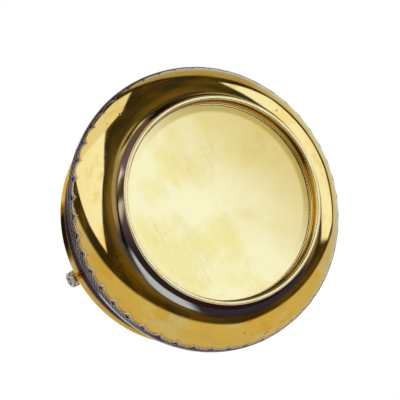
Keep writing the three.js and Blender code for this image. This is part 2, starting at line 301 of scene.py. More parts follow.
def build_foot():
    """Wall leaning a little outwards, a hollow up to the bowl, and a small fillet to the base inside."""
    inner_face = FOOT_RADIUS - FOOT_WALL + 0.05 * MM
    outer = [(FOOT_RADIUS + LIP_PROUD - 0.1 * MM, 0.5 * MM)]
    outer += bent((FOOT_HEAD, FOOT_HEAD_HEIGHT), (FOOT_HEAD + 0.25 * MM, FOOT_HEAD_HEIGHT + 0.7 * MM),
                  (FILLET_REACH, skin_underside(FILLET_REACH) + 0.05 * MM), 24)
    top = [(r, skin_underside(r) + 0.25 * MM) for r in steps(FILLET_REACH, BASE_RADIUS - 1 * MM, 8)[1:]]
    inner = [(BASE_RADIUS - 1.2 * MM, RECESS + 0.2 * MM)]
    for t in steps(0, math.pi / 2, 14):
        inner.append((inner_face - 0.1 * MM - 0.9 * MM * (1 - math.sin(t)),
                      RECESS - 0.21 * MM - 0.75 * MM * (1 - math.cos(t))))
    inner.append((inner_face, 0.3 * MM))
    return revolved("foot_band", outer + top + inner, FOOT_ROUND, smooth_angle=60)


def build_foot_wire():
    """Lip along the foot's lower edge: flat where it stands, rolled up outside, softer inside."""
    inner, outer = FOOT_RADIUS - FOOT_WALL, FOOT_RADIUS + LIP_PROUD
    outline = [(inner + LIP_SOFT * (1 - math.sin(t)), LIP_RISE * (1 - math.cos(t)))
               for t in steps(math.pi / 2, 0, 9)]
    outline += [(outer - LIP_ROLL * (1 - math.sin(t)), LIP_ROLL * (1 - math.cos(t)))
                for t in steps(0, math.pi / 2, 12)]
    outline += [(outer, LIP_TOP), (inner, LIP_TOP)]
    return revolved("foot_wire", outline, FOOT_ROUND)


def build_rim():
    """Rounded wire on the wall's top, flat where it sits."""
    half_width = (RIM_OUTER - RIM_INNER) / 2
    centre = (RIM_OUTER + RIM_INNER) / 2
    height = RIM_LOW + RIM_FLAT
    start = -math.asin(RIM_FLAT / RIM_HALF_HEIGHT)
    outline = [(centre + half_width * math.cos(t), height + RIM_HALF_HEIGHT * math.sin(t))
               for t in steps(start, math.pi - start, 28)]
    return revolved("rim_edge", outline, ROUND)


# ------ border

TOOTH_PITCH = 2 * math.pi * BELLY_RADIUS / TOOTH_COUNT
BORDER_BACK = 0.25 * MM
BORDER_FOOT = 17.5 * MM

# Centre, half width and height of each line: three at a distance from the teeth, one near the top
EDGE_BEAD = (0.24 * MM, 0.24 * MM, 0.14 * MM)
EDGE_HOLLOW = (0.62 * MM, 0.16 * MM, 0.08 * MM)
INNER_BEAD = (0.95 * MM, 0.16 * MM, 0.08 * MM)
TOP_LINE = (BORDER_TOP - 0.8 * MM, 0.35 * MM, 0.10 * MM)
CUSP_DEPTH = 0.07 * MM


def tooth_edge(fraction):
    """Lower edge of the border along one tooth: concave arcs that meet in points."""
    from_tip = abs(fraction - 0.5) * 2
    return TOOTH_TIP + TOOTH_HEIGHT * math.sqrt(max(0, 1 - from_tip * from_tip))


def band_heights():
    """Heights of the face's rows at each column of a tooth: first along the teeth, then level."""
    lows = [tooth_edge(c / TOOTH_COLUMNS) for c in range(TOOTH_COLUMNS)]
    rows = [[low + (SHOULDER_TOP - low) * v ** 1.25 for low in lows] for v in steps(0, 1, 44)]
    level = steps(SHOULDER_TOP, RIDGE_HEIGHT - 1.2 * MM, 8)[1:]
    level += steps(RIDGE_HEIGHT - 1.0 * MM, RIDGE_HEIGHT + 1.0 * MM, 14)
    level += steps(RIDGE_HEIGHT + 1.4 * MM, BORDER_TOP, 40)
    return rows + [[z] * TOOTH_COLUMNS for z in level]


def band_relief(gap, from_tip, z):
    """Relief of the border's face and how dark it is, from the distance to the toothed edge."""
    if z > SHOULDER_TOP:
        line = bump_at(z, *TOP_LINE)
        return line, 0.55 - 0.3 * (line > 0)
    bead, hollow, inner_bead = (bump_at(gap, *line) for line in (EDGE_BEAD, EDGE_HOLLOW, INNER_BEAD))
    in_cusp = z - TOOTH_TIP < 3.4 * MM and gap > 1.05 * MM and from_tip < 1.0 * MM
    shade = 0.5
    if bead > 0.05 * MM:
        shade = 0.05
    elif hollow > 0 or in_cusp:
        shade = 1
    elif inner_bead > 0:
        shade = 0.1
    return bead + inner_bead - hollow - in_cusp * CUSP_DEPTH, shade


def face_rings(rows):
    """Radius, height and darkness of the face's points along one tooth, row by row."""
    curve = np.array([(f * TOOTH_PITCH, tooth_edge(f % 1)) for f in np.linspace(-1, 2, 301)])
    rings = []
    for level, row in enumerate(rows):
        ring = []
        for c, z in enumerate(row):
            gap = np.hypot(curve[:, 0] - c / TOOTH_COLUMNS * TOOTH_PITCH, curve[:, 1] - z).min()
            from_tip = min(c, TOOTH_COLUMNS - c) / TOOTH_COLUMNS * TOOTH_PITCH
            relief, shade = band_relief(gap, from_tip, z)
            relief += RELIEF * min(1, level / 2) + bump_at(z, RIDGE_HEIGHT, RIDGE_HALF_WIDTH, RIDGE_RELIEF)
            ring.append((skin_radius(z) + relief, z, shade))
        rings.append(ring)
    return rings


def build_band():
    """The border as a closed sleeve: engraved face, hidden back, toothed lower edge."""
    columns = TOOTH_COUNT * TOOTH_COLUMNS
    rows = band_heights()
    middle = (RIDGE_HEIGHT + BORDER_TOP) / 2
    back = [BORDER_TOP, middle + 4 * MM, middle, RIDGE_HEIGHT, (RIDGE_HEIGHT + SHOULDER_TOP) / 2,
            SHOULDER_TOP, (SHOULDER_TOP + BELLY_HEIGHT) / 2, BELLY_HEIGHT, BORDER_FOOT]
    rings = face_rings(rows)
    for row in [[z] * TOOTH_COLUMNS for z in back] + [rows[0]]:
        rings.append([(skin_radius(z) - BORDER_BACK, z, 0.5) for z in row])
    points, shades = [], []
    turn = 2 * math.pi / columns
    for ring in rings:
        for c in range(columns):
            r, z, shade = ring[c % TOOTH_COLUMNS]
            points.append((r * math.cos(c * turn), r * math.sin(c * turn), z))
            shades.append(shade)
    band = make_object("engraved_band", points, grid_faces(len(rings), columns, True))
    attribute = band.data.attributes.new("groove", "FLOAT", "POINT")
    attribute.data.foreach_set("value", np.array(shades, np.float32))
    return band


def build_waist_line():
    """Low half-round line along the border where the belly is widest."""
    outline = []
    for t in steps(-1, 1, 16):
        z = WAIST_HEIGHT + WAIST_HALF_WIDTH * t
        outline.append((skin_radius(z) + RELIEF + WAIST_RELIEF * math.sqrt(1 - t * t), z))
    for z in (WAIST_HEIGHT + WAIST_HALF_WIDTH, WAIST_HEIGHT - WAIST_HALF_WIDTH):
        outline.append((skin_radius(z) - 0.1 * MM, z))
    return revolved("border_line", outline, ROUND)


def build_collar():
    """Plain gilt strip of the wall between the border and the rim."""
    heights = steps(BORDER_TOP + 0.15 * MM, RIM_LOW + 0.4 * MM, 12)
    outline = [(skin_radius(z) + COLLAR_PROUD, z) for z in heights]
    outline += [(skin_radius(z) - 0.2 * MM, z) for z in reversed(heights)]
    return revolved("rim_collar", outline, ROUND)


# ------ hinges and handle

OUTER_CHEEK = LUG_HIGH.x - 1.2 * MM
INNER_CHEEK = RIM_OUTER + 0.3 * MM
CHEEK_FILED = 0.45
CHEEK_SHRINK = 0.78
LUG_SHRINK = 0.9
VOXEL = 0.09 * MM

# The lug's inner side is trimmed by a slope, so that the rim passes in front of it in the photograph.
TRIM_TOP = RIM_LOW + 0.3 * MM
TRIM_SLOPE = 2.18
TRIM_REACH = 1.25 * MM

SCROLL_SPREAD = 2.1 * MM
SCROLL_DROP = 1.75 * MM
SCROLL_RADIUS = 1.0 * MM
PIN_DOME = 0.35 * MM
PIN_RING = (1.1 * MM, 0.3 * MM, 0.22 * MM)


def worn_reach(x):
    """Distance from the axis with the outer cheek filed thinner than in the CAD."""
    past = max(0, abs(x) - OUTER_CHEEK)
    return math.copysign(abs(x) - past * CHEEK_FILED, x)


def side_turn(side, across, height):
    """Turns a body from the Z axis to lie along the hinge axis, on the side named."""
    sign = 1 if side == "right" else -1
    return Matrix(((0, 0, sign, 0), (sign, 0, 0, across), (0, 1, 0, height), (0, 0, 0, 1)))


def build_lug(side):
    """The lug with its edges worn round: its solid shrunk a little, remeshed finely and smoothed."""
    lug = add_object("lug_plates_" + side, frame["nodes"]["lug_" + side].data.copy())
    lug.data.materials.clear()
    for vertex in lug.data.vertices:
        co = vertex.co
        in_cheek = abs(co.x) > OUTER_CHEEK + 0.2 * MM
        shrink = CHEEK_SHRINK if in_cheek else LUG_SHRINK
        co.x = worn_reach(co.x)
        co.y *= shrink
        if co.z > PIVOT or in_cheek:
            co.z = PIVOT + (co.z - PIVOT) * shrink
        co.x = math.copysign(max(abs(co.x), INNER_CHEEK - 0.2 * MM), co.x)
        past_cheek = abs(co.x) - INNER_CHEEK
        if past_cheek < TRIM_REACH:
            co.z = max(co.z, TRIM_TOP - TRIM_SLOPE * past_cheek)
    remesh = lug.modifiers.new("voxels", "REMESH")
    remesh.mode = "VOXEL"
    remesh.voxel_size = VOXEL
    remesh.use_smooth_shade = True
    soften = lug.modifiers.new("wear", "SMOOTH")
    soften.factor = 0.5
    soften.iterations = 6
    lug.visible_glossy = False
    return lug


def build_scroll_end(side, across):
    """Turned end of one scroll bar: a ring with a ball in it."""
    end = worn_reach(LUG_HIGH.x)
    profile = [(0, end - 0.5 * MM), (SCROLL_RADIUS, end - 0.5 * MM), (SCROLL_RADIUS, end)]
    for t in steps(0, math.pi, 10)[1:]:
        profile.append((SCROLL_RADIUS - 0.2 * MM * (1 - math.cos(t)), end + 0.22 * MM * math.sin(t)))
    profile.append((0.52 * MM, end - 0.1 * MM))
    for t in steps(0, math.pi / 2, 8)[:-1]:
        profile.append((0.48 * MM * math.cos(t), end - 0.1 * MM + 0.45 * MM * math.sin(t)))
    profile.append((0, end + 0.35 * MM))
    knob = revolved("scroll_%s_%s" % (side, "front" if across < 0 else "back"), profile, 40)
    knob.data.transform(side_turn(side, across, PIVOT - SCROLL_DROP))
    return knob


def build_pin(side):
    """Rivet with a low domed head and a small ring turned in it."""
    low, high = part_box("hinge_pin_" + side)
    end = worn_reach(max(high.x, -low.x))
    start = INNER_CHEEK + 1.0 * MM
    head = (high.z - low.z) / 2
    seat = end - 0.6 * MM
    profile = [(0, start), (PIN_RADIUS - 0.1 * MM, start), (PIN_RADIUS, start + 0.1 * MM)]
    profile += [(PIN_RADIUS, seat - 0.05 * MM), (head - 0.1 * MM, seat), (head, seat + 0.1 * MM)]
    profile.append((head, end - PIN_DOME))
    for t in steps(0, math.pi / 2, 14)[1:-1]:
        r = head * math.cos(t)
        profile.append((r, end - PIN_DOME + PIN_DOME * math.sin(t) - bump_at(r, *PIN_RING)))
    profile.append((0, end))
    pin = revolved("rivet_" + side, profile, 64, smooth_angle=60)
    pin.data.transform(side_turn(side, 0, PIVOT))
    return pin


EYE_RADIUS = 2.85 * MM
EYE_PLANE = HANDLE_HIGH.x - HANDLE_THICKNESS / 2
HANDLE_MIDDLE = HANDLE_HIGH.y - HANDLE_LOW.y
HANDLE_RISE = HANDLE_HIGH.z - HANDLE_THICKNESS / 2 - PIVOT
HANDLE_EDGE = 0.35 * MM
HANDLE_LINES = ((0.8 * MM, 0.16 * MM, 0.09 * MM), (1.25 * MM, 0.1 * MM, 0.05 * MM))


def handle_line(count):
    """Points, outward directions and lengths along the handle's middle line, from eye to eye."""
    base = PIVOT + HANDLE_ROOT
    rise = HANDLE_RISE - HANDLE_ROOT
    radius = (EYE_PLANE ** 2 + rise ** 2) / (2 * rise)
    centre = base + rise - radius
    first = math.asin((base - centre) / radius)
    root = [(EYE_PLANE, z) for z in steps(PIVOT - EYE_RADIUS, base, 24)[:-1]]
    arch = [(radius * math.cos(t), centre + radius * math.sin(t))
            for t in steps(first, math.pi - first, count)]
    line = np.array(root + arch + [(-x, z) for x, z in reversed(root)])
    tangent = np.gradient(line, axis=0)
    tangent /= np.linalg.norm(tangent, axis=1, keepdims=True)
    outward = np.c_[tangent[:, 1], -tangent[:, 0]]
    length = np.r_[0, np.cumsum(np.linalg.norm(np.diff(line, axis=0), axis=1))]
    return line, outward, length


def handle_half_width(from_eye, total):
    """Half the handle's width at a distance along it from the centre of the nearer eye."""
    middle = min(1, max(0, (from_eye - HANDLE_ROOT) / (total / 2 - EYE_RADIUS - HANDLE_ROOT)))
    swell = math.sin(middle * math.pi / 2) ** HANDLE_SWELL
    strip = HANDLE_END / 2 + (HANDLE_MIDDLE - HANDLE_END) / 2 * swell
    eye = math.sqrt(max(0, EYE_RADIUS ** 2 - from_eye ** 2))
    return max(eye, strip if from_eye > 0 else 0, 0.02 * MM)


def handle_half_thickness(edge, lined):
    """Half the handle's thickness at a distance from its edge, less the two engraved lines."""
    thick = HANDLE_THICKNESS / 2
    if edge < HANDLE_EDGE:
        thick += math.sqrt(max(0, HANDLE_EDGE ** 2 - (HANDLE_EDGE - edge) ** 2)) - HANDLE_EDGE
    if lined:
        thick -= sum(bump_at(edge, *line) for line in HANDLE_LINES)
    return thick


def build_handle():
    """Flat bow with rounded edges, two engraved lines along each edge and a round eye at each end."""
    line, outward, length = handle_line(220)
    total = length[-1]
    across = np.sin(np.linspace(-math.pi / 2, math.pi / 2, 45))
    points, count = [], 2 * len(across)
    for (x, z), (ox, oz), at in zip(line, outward, length):
        from_eye = min(at, total - at) - EYE_RADIUS
        half = handle_half_width(from_eye, total)
        for sign, fractions in ((1, across), (-1, across[::-1])):
            for w in half * fractions:
                thick = sign * handle_half_thickness(half - abs(w), from_eye > EYE_RADIUS)
                points.append((x + ox * thick, w, z + oz * thick))
    faces = grid_faces(len(line), count, False)
    faces.append(tuple(range(count))[::-1])
    faces.append(tuple((len(line) - 1) * count + k for k in range(count)))
    return make_object("bow_handle", points, faces)


# ------ materials

class Nodes:
    """Short ways to add nodes to one tree."""

    def __init__(self, tree):
        self.tree = tree

    def link(self, source, target):
        if isinstance(source, bpy.types.NodeSocket):
            self.tree.links.new(source, target)
        else:
            target.default_value = source

    def add(self, kind, **settings):
        node = self.tree.nodes.new(kind)
        for key, value in settings.items():
            setattr(node, key, value)
        return node

    def math(self, operation, a, b=0.0):
        node = self.add("ShaderNodeMath", operation=operation)
        self.link(a, node.inputs[0])
        self.link(b, node.inputs[1])
        return node.outputs[0]

    def product(self, first, *others):
        for factor in others:
            first = self.math("MULTIPLY", first, factor)
        return first

    def sum(self, first, *others):
        for term in others:
            first = self.math("ADD", first, term)
        return first

    def hypot(self, a, b):
        return self.math("SQRT", self.sum(self.product(a, a), self.product(b, b)))

    def dot(self, a, b):
        node = self.add("ShaderNodeVectorMath", operation="DOT_PRODUCT")
        self.link(a, node.inputs[0])
        self.link(b, node.inputs[1])
        return node.outputs["Value"]

    def split(self, vector):
        node = self.add("ShaderNodeSeparateXYZ")
        self.link(vector, node.inputs[0])
        return node.outputs

    def combine(self, x, y, z):
        node = self.add("ShaderNodeCombineXYZ")
        for socket, value in zip(node.inputs, (x, y, z)):
            self.link(value, socket)
        return node.outputs[0]

    def ramp(self, value, low, high, start=0.0, end=1.0):
        """Smooth step from start at low to end at high. High may be the smaller of the two."""
        node = self.add("ShaderNodeMapRange", interpolation_type="SMOOTHSTEP")
        names = ("Value", "From Min", "From Max", "To Min", "To Max")
        for name, setting in zip(names, (value, low, high, start, end)):
            self.link(setting, node.inputs[name])
        return node.outputs[0]

    def near(self, value, centre, outer, inner):
        """Mask around one value: 1 within inner of it, 0 past outer."""
        return self.ramp(self.math("ABSOLUTE", self.math("SUBTRACT", value, centre)), outer, inner)

    def mix(self, factor, a, b):
        node = self.add("ShaderNodeMix", data_type="RGBA")
        self.link(factor, node.inputs["Factor"])
        for socket, value in ((node.inputs[6], a), (node.inputs[7], b)):
            self.link(value if isinstance(value, bpy.types.NodeSocket) else (*value, 1), socket)
        return node.outputs[2]

    def noise(self, vector, scale, detail=3.0, roughness=0.5):
        node = self.add("ShaderNodeTexNoise")
        self.link(vector, node.inputs["Vector"])
        node.inputs["Scale"].default_value = scale
        node.inputs["Detail"].default_value = detail
        node.inputs["Roughness"].default_value = roughness
        return node.outputs["Fac"]

    def stretched(self, vector, scale, turn=0):
        """Coordinates scaled along each axis and turned about Z."""
        node = self.add("ShaderNodeMapping")
        self.link(vector, node.inputs["Vector"])
        node.inputs["Scale"].default_value = scale
        node.inputs["Rotation"].default_value = (0, 0, turn)
        return node.outputs[0]

    def patches(self, place, scale, low, high, detail=4.0, roughness=0.6):
        """Mask of cloudy patches."""
        return self.ramp(self.noise(place, scale, detail, roughness), low, high)

    def bump(self, height, distance, strength, under=None):
        node = self.add("ShaderNodeBump")
        self.link(height, node.inputs["Height"])
        node.inputs["Distance"].default_value = distance
        node.inputs["Strength"].default_value = strength
        if under is not None:
            self.link(under, node.inputs["Normal"])
        return node.outputs[0]


def new_metal(name):
    """An empty material, its node helper and the piece's own coordinates."""
    material = bpy.data.materials.new(name)
    material.use_nodes = True
    n = Nodes(material.node_tree)
    return material, n, n.add("ShaderNodeTexCoord").outputs["Object"]


def finish_metal(n, color, rough, normal, grazing=(1, 1, 1)):
    """Joins the channels to the shader; grazing is the metal's tint where it is seen aslant."""
    channels = n.tree.nodes["Principled BSDF"].inputs
    channels["Metallic"].default_value = 1
    channels["Specular Tint"].default_value = (*grazing, 1)
    for name, source in (("Base Color", color), ("Roughness", rough), ("Normal", normal)):
        n.link(source, channels[name])


def radius_and_height(n, place):
    x, y, z = n.split(place)
    return n.hypot(x, y), z


def toward(n, place, x, y, radius):
    """How far a point lies towards the direction (x, y): 1 at the radius."""
    return n.dot(place, (x / radius, y / radius, 0))


def scratches(n, place, scale, turn, width):
    """Mask of thin broken lines that run one way."""
    lines = n.noise(n.stretched(place, (scale, scale / 60, scale), turn), 1.0, 1.0)
    return n.product(n.near(lines, 0.5, width, 0), n.patches(place, 60, 0.5, 0.62, 1.0, 0.5))


STREAK_TURN = math.radians(21)


def dark_rim_streak(n, place):
    """Mask of a dark stretch of the rim beside the right lug."""
    return n.ramp(toward(n, place, math.cos(STREAK_TURN), math.sin(STREAK_TURN), RIM_OUTER), 0.965, 0.985)


DEEP_GILT = (0.98, 0.63, 0.10)
PALE_GILT = (0.94, 0.755, 0.30)
LIGHT_GILT = (1.0, 0.80, 0.34)
STAINED_GILT = (0.86, 0.56, 0.12)
ORANGE_GILT = (0.95, 0.50, 0.025)
TAWNY_GILT = (0.92, 0.58, 0.14)
HIGH_GILT = (0.90, 0.58, 0.14)
LINE_BROWN = (0.30, 0.15, 0.03)
WIDEST_HIGHLIGHT = (0.90, 0.90, 0.78)
LIP_GILT = (0.62, 0.40, 0.12)
LIP_DARK = (0.12, 0.085, 0.02)
STREAK_BROWN = (0.12, 0.09, 0.02)
WORN_GILT = (0.90, 0.66, 0.18)
BARED_SILVER = (0.86, 0.74, 0.60)
MAUVE_HIGHLIGHT = (0.66, 0.58, 0.85)
PIT_BROWN = (0.10, 0.055, 0.02)
SATIN_GILT = (0.97, 0.86, 0.46)
SATIN_YELLOW = (0.92, 0.77, 0.30)
SATIN_SHADE = (0.72, 0.53, 0.14)
SATIN_EDGE_HIGHLIGHT = (1.0, 0.85, 0.40)
SATIN_EDGE_SHADE = (0.40, 0.27, 0.02)

# Scale, direction and width of each set of scratches on the base
SCRATCH_SETS = ((300, 0.5, 0.002), (240, 1.9, 0.0015), (200, 2.8, 0.0015))
SCRATCH_DEPTH = 0.4


def toothed_line(n, place, radius, height):
    """Mask of a line on the bowl that runs along inside the border's teeth."""
    x, y, _ = n.split(place)
    turn = n.product(n.math("ARCTAN2", y, x), TOOTH_COUNT / (2 * math.pi))
    along = n.product(n.math("SUBTRACT", n.math("FRACT", turn), 0.5), 2.0)
    rise = n.math("DIVIDE", n.math("SUBTRACT", height, TOOTH_TIP), TOOTH_HEIGHT)
    return n.product(n.near(n.hypot(along, rise), 0.88, 0.1, 0.03), n.ramp(rise, -0.15, 0.1),
                     n.ramp(radius, 55.2 * MM, 55.4 * MM))


def belly_color(n, place, radius, height, cloud):
    """Gilt of the belly: painted light makes it paler on one side and deeper on the other; with stains, and a
    painted highlight, pale as bared silver, low on its widest part on one side.
    """
    # Painted light: the gilt is paler towards one side and deeper towards the other.
    deep = n.sum(toward(n, place, 0.45, -0.89, BELLY_RADIUS), n.product(cloud, 0.5))
    deep = n.ramp(deep, 0.3, 0.85)
    color = n.mix(deep, PALE_GILT, DEEP_GILT)
    flat, flatter = n.stretched(place, (1, 1, 2.5)), n.stretched(place, (1, 1, 3))
    color = n.mix(n.product(n.patches(flatter, 90, 0.50, 0.64, 5.0, 0.65), 0.7), color, STAINED_GILT)
    color = n.mix(n.product(n.patches(flat, 62, 0.50, 0.62, 5.0), deep, 0.85), color, ORANGE_GILT)
    color = n.mix(n.product(n.patches(flatter, 41, 0.52, 0.64), deep, 0.55), color, LIGHT_GILT)
    color = n.mix(n.product(toothed_line(n, place, radius, height), 0.7), color, LINE_BROWN)
    high = n.ramp(n.sum(height, n.product(cloud, 8 * MM)), 10 * MM, 20 * MM)
    color = n.mix(n.product(high, 0.45), color, HIGH_GILT)
    left = n.ramp(toward(n, place, -1, 0, BELLY_RADIUS), 0.3, 0.75)
    tawny = n.product(left, n.patches(place, 75, 0.50, 0.62, 4.0, 0.7), 0.6)
    color = n.mix(tawny, color, TAWNY_GILT)
    # Painted highlight, pale as bared silver, low on the belly's widest part on one side only.
    widest = n.product(n.ramp(radius, 53.4 * MM, 54.8 * MM), n.ramp(height, 19 * MM, 16 * MM),
                       n.ramp(toward(n, place, -0.95, 0.3, BELLY_RADIUS), 0.1, 0.6), 0.75)
    return n.mix(widest, color, WIDEST_HIGHLIGHT)


def lip_and_halo(n, place, radius, height, cloud, color):
    """Adds the darker gilt of the lip and a painted mauve highlight round the foot on one side."""
    lip = n.mix(dark_rim_streak(n, place), LIP_GILT, LIP_DARK)
    color = n.mix(n.ramp(height, 43 * MM, 44 * MM), color, lip)
    # Painted highlight: pale mauve on the bowl round the foot, on one side only.
    halo = n.ramp(n.sum(radius, n.product(cloud, 1.2 * MM)), 47.0 * MM, 44.9 * MM)
    halo = n.product(halo, n.ramp(radius, 41 * MM, 42 * MM),
                     n.ramp(toward(n, place, 0.6, -0.8, BELLY_RADIUS), 0.2, 0.5),
                     n.ramp(height, 9 * MM, 8 * MM))
    return n.mix(halo, color, MAUVE_HIGHLIGHT)


def satin_color(n, place, radius, cloud):
    """Gilt of the base: cloudy, with painted shade that browns one side, and a painted highlight at its edge
    that turns to painted olive shade at the far edge.
    """
    color = n.mix(n.patches(place, 45, 0.46, 0.66, 3.0, 0.55), SATIN_GILT, SATIN_YELLOW)
    # Painted shade: the base turns browner towards one side.
    shade = n.sum(toward(n, place, -0.88, 0.22, BASE_RADIUS), n.product(n.math("SUBTRACT", cloud, 0.5), 0.8))
    color = n.mix(n.product(n.ramp(shade, -0.3, 0.95), 0.85), color, SATIN_SHADE)
    # Painted highlight along the edge on one side, painted olive shade along it on the far side.
    olive = n.ramp(toward(n, place, -0.87, 0.5, BASE_RADIUS), -0.2, 0.7)
    edge = n.product(n.ramp(radius, 35.0 * MM, 36.4 * MM), 0.6)
    return n.mix(edge, color, n.mix(olive, SATIN_EDGE_HIGHLIGHT, SATIN_EDGE_SHADE))


def pit_mask(n, place, radius, fine):
    """Mask of small pits in sparse groups, weaker on the base."""
    speck = n.add("ShaderNodeTexVoronoi")
    n.link(place, speck.inputs["Vector"])
    speck.inputs["Scale"].default_value = 330
    return n.product(n.ramp(speck.outputs["Distance"], 0.22, 0.1), n.ramp(fine, 0.50, 0.58),
                     n.patches(place, 70, 0.52, 0.60, 2.0, 0.5),
                     n.ramp(radius, 40 * MM, 44 * MM, 0.15, 1))


def gilt_body_material():
    """Polished gilt on the body, satin with scratches on the base, dark pits low on the belly."""
    material, n, place = new_metal("gilt_body")
    radius, height = radius_and_height(n, place)
    base = n.product(n.ramp(radius, 38.7 * MM, 38.55 * MM), n.ramp(height, 6 * MM, 5.6 * MM))
    cloud = n.noise(place, 38, 4.0, 0.6)
    fine = n.noise(place, 260, 4.0, 0.6)
    body = belly_color(n, place, radius, height, cloud)
    body = lip_and_halo(n, place, radius, height, cloud, body)
    color = n.mix(base, body, satin_color(n, place, radius, cloud))
    pits = pit_mask(n, place, radius, fine)
    color = n.mix(n.product(pits, 0.75), color, PIT_BROWN)
    polish = n.sum(0.045, n.product(n.ramp(fine, 0.4, 0.75), 0.05))
    satin = n.sum(0.13, n.product(fine, 0.12))
    rough = n.add("ShaderNodeMix", data_type="FLOAT")
    n.link(base, rough.inputs["Factor"])
    n.link(polish, rough.inputs[2])
    n.link(satin, rough.inputs[3])
    marks = n.sum(*(scratches(n, place, *each) for each in SCRATCH_SETS))
    marks = n.product(marks, n.product(base, SCRATCH_DEPTH))
    soft = n.bump(n.product(cloud, n.sum(0.2, base)), 0.0006, 0.2)
    normal = n.bump(n.sum(marks, pits), -0.00003, 0.6, soft)
    finish_metal(n, color, rough.outputs[0], normal)
    return material


def plain_material(name, color, stained, rough=0.05, grazing=(1, 1, 1)):
    """Polished metal with slow changes of colour and wear, and the rim's dark streak."""
    material, n, place = new_metal(name)
    cloud = n.noise(place, 120, 4.0, 0.6)
    fine = n.noise(place, 900, 3.0, 0.6)
    tint = n.mix(n.ramp(cloud, 0.42, 0.62), color, stained)
    below_top = n.ramp(n.split(place)[2], 48.9 * MM, 48.3 * MM)
    tint = n.mix(n.product(dark_rim_streak(n, place), below_top), tint, STREAK_BROWN)
    normal = n.bump(n.sum(cloud, n.product(fine, 0.2)), -0.00003, 0.2)
    finish_metal(n, tint, n.sum(rough, n.product(fine, 0.1)), normal, grazing)
    return material


def handle_material():
    """The handle's gilding, worn through to silver round its eyes."""
    material = plain_material("gilt_handle", PALE_GILT, WORN_GILT)
    n = Nodes(material.node_tree)
    channels = n.tree.nodes["Principled BSDF"].inputs
    gilt = channels["Base Color"].links[0].from_socket
    rough = channels["Roughness"].links[0].from_socket
    place = n.add("ShaderNodeTexCoord").outputs["Object"]
    rubbed_and_lit = n.ramp(n.split(place)[2], PIVOT + 4 * MM, PIVOT + 1 * MM)
    n.link(n.mix(rubbed_and_lit, gilt, BARED_SILVER), channels["Base Color"])
    n.link(n.sum(rough, n.product(rubbed_and_lit, 0.25)), channels["Roughness"])
    return material


DARK_SILVER = (0.035, 0.022, 0.026)
FOOT_BROWN = (0.17, 0.11, 0.12)
FOOT_TAN_HIGHLIGHT = (1.0, 0.84, 0.62)
HOLLOW_SHADE = (0.05, 0.037, 0.046)
HOLLOW_HIGHLIGHT = (0.74, 0.74, 0.73)
HOLLOW_SHADE_BROWN = (0.34, 0.21, 0.05)
HOLLOW_LINE = (0.14, 0.09, 0.05)
FOOT_GILT = (0.80, 0.52, 0.12)
FOOT_DEEP = (0.70, 0.42, 0.08)
FOOT_PALE_HIGHLIGHT = (1.0, 0.86, 0.46)


def foot_material():
    """Silver outside, toned purplish brown where it meets the gilt bowl, with painted shade, a painted tan
    highlight and a painted highlight crescent that change round it; gilt inside, paler at its inner edge as a
    painted highlight.
    """
    material, n, place = new_metal("silver_foot")
    radius, _ = radius_and_height(n, place)
    cloud = n.noise(n.stretched(place, (1, 1, 3)), 130, 4.0, 0.6)
    far = n.sum(radius, n.product(cloud, 0.3 * MM))

    def facing(degrees, low, high):
        turn = math.radians(degrees)
        return n.ramp(toward(n, place, math.cos(turn), math.sin(turn), FOOT_RADIUS), low, high)

    # Painted shade: the wall is darker towards one side; a painted tan highlight lies towards another.
    wall = n.mix(facing(-60, 0.1, 0.6), FOOT_BROWN, DARK_SILVER)
    wall = n.mix(facing(30, 1.0, 1.037), wall, FOOT_TAN_HIGHLIGHT)
    # Painted highlight: a light crescent in the hollow on one side, with painted shade beside it; the hollow's
    # gilt takes painted brown shade away from one side.
    crescent_highlight = n.mix(facing(-22, 0.955, 1.025), HOLLOW_SHADE, HOLLOW_HIGHLIGHT)
    gilded = n.mix(facing(95, 0.7, 1.0), HOLLOW_SHADE_BROWN, PALE_GILT)
    gilded = n.mix(n.ramp(far, 42.9 * MM, 43.2 * MM), HOLLOW_LINE, gilded)
    hollow = n.mix(facing(-53, 0.3, 0.55), gilded, crescent_highlight)
    silver = n.mix(n.ramp(far, 42.55 * MM, 42.3 * MM), hollow, wall)
    gilt = n.mix(n.ramp(cloud, 0.4, 0.7), FOOT_GILT, FOOT_DEEP)
    # Painted highlight: paler gilt at the inner edge.
    gilt = n.mix(n.ramp(radius, 39.0 * MM, 38.7 * MM), gilt, FOOT_PALE_HIGHLIGHT)
    outside = n.ramp(radius, 40.1 * MM, 40.5 * MM)
    rough = n.sum(0.09, n.product(n.noise(place, 700, 4.0, 0.65), 0.1))
    normal = n.bump(cloud, -0.00003, 0.25)
    finish_metal(n, n.mix(outside, gilt, silver), rough, normal, (0.55, 0.48, 0.5))
    return material


HATCH_STEP = 0.95 * MM
HATCH_LOW = 15.9 * MM
HATCH_HIGH = 26.3 * MM
BORDER_GREY = (0.50, 0.47, 0.46)
BORDER_BROWN = (0.20, 0.15, 0.17)
NECK_GREY = (0.075, 0.055, 0.062)
RIDGE_WORN = (0.62, 0.60, 0.53)
BORDER_OLIVE_SHADE = (0.10, 0.08, 0.04)
BEAD_SHADE_BROWN = (0.34, 0.26, 0.14)
BEAD_HIGHLIGHT = (0.92, 0.68, 0.42)
GROOVE_DARK = (0.03, 0.022, 0.022)
HATCH_DARK = (0.03, 0.022, 0.03)


